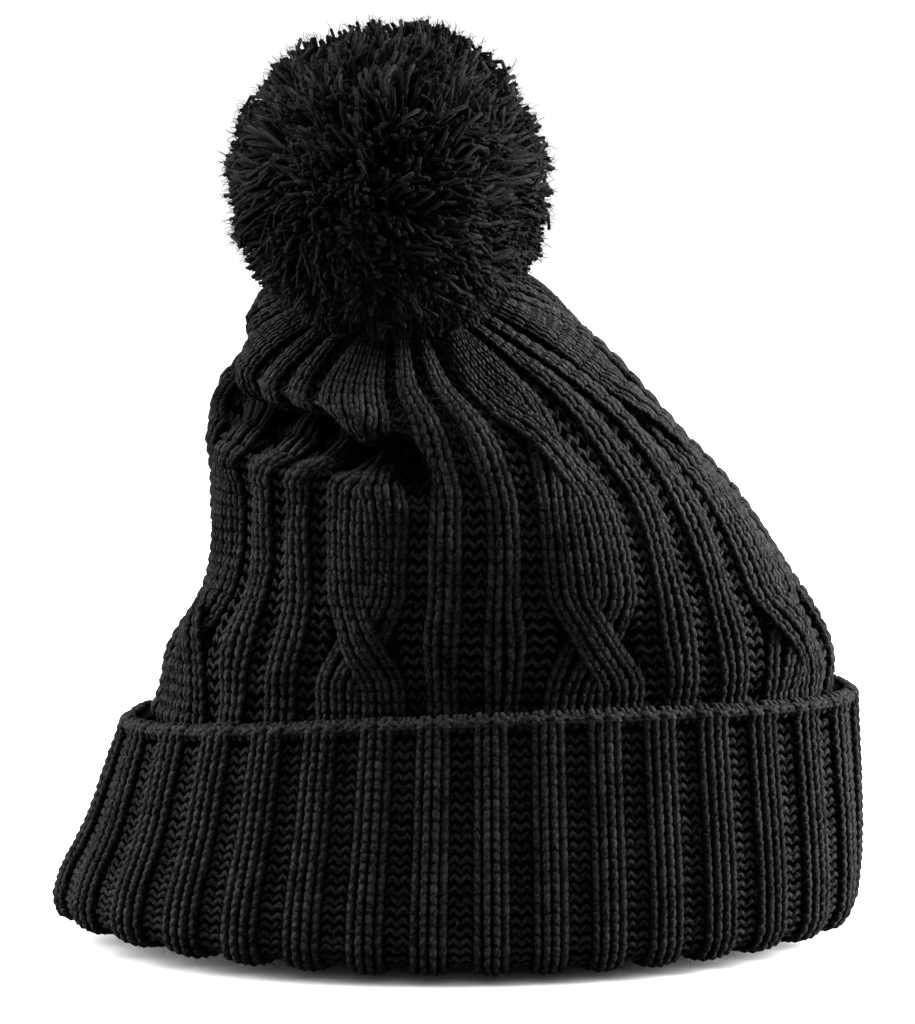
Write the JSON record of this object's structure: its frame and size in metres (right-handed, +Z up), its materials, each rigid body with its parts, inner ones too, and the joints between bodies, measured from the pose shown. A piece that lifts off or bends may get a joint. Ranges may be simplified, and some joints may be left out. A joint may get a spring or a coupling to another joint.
{
  "type": "knit beanie",
  "caption": "Cuffed cable-knit beanie with a turned-up ribbed cuff, a slouched crown gathered at the top and a yarn pompom on a flexible tie.",
  "frame": {"origin": "middle of the footprint of the whole object, on the surface that the cuff stands on", "axes": "+Z up to the pompom, +Y to the back of the hat, +X to the steep side of the crown, away from its slouch"},
  "size_m": [0.2198, 0.1334, 0.2452],
  "materials": {
    "crown_wool": "black wool-blend yarn, cable knit, matt with a soft fuzz",
    "cuff_wool": "black wool-blend yarn, two-by-two rib, matt with a soft fuzz",
    "pompom_wool": "black cut yarn ends, matt",
    "sewing_yarn": "black plied yarn"
  },
  "bodies": {
    "hat": {"crown_knit": "crown_wool", "cuff_knit": "cuff_wool", "crown_back_seam": "sewing_yarn", "cuff_back_seam": "sewing_yarn", "crown_gather_yarn": "sewing_yarn"},
    "pompom_tie": {"pompom_tie_neck": "sewing_yarn", "pompom_tie_knot": "sewing_yarn"},
    "pompom": {"pompom_binding": "sewing_yarn", "pompom_yarn": "pompom_wool"}
  },
  "joints": [
    {"name": "pompom_sway", "type": "hinge", "parent": "hat", "child": "pompom_tie", "pos_m": [-0.0168, -0.01071, 0.179], "axis": [0, 0.866, 0.5], "range_deg": [-10, 10], "stiffness_Nm_per_rad": 0.15},
    {"name": "pompom_nod", "type": "hinge", "parent": "pompom_tie", "child": "pompom", "pos_m": [-0.0168, -0.01071, 0.179], "axis": [1, 0, 0], "range_deg": [-10, 10], "stiffness_Nm_per_rad": 0.15}
  ]
}
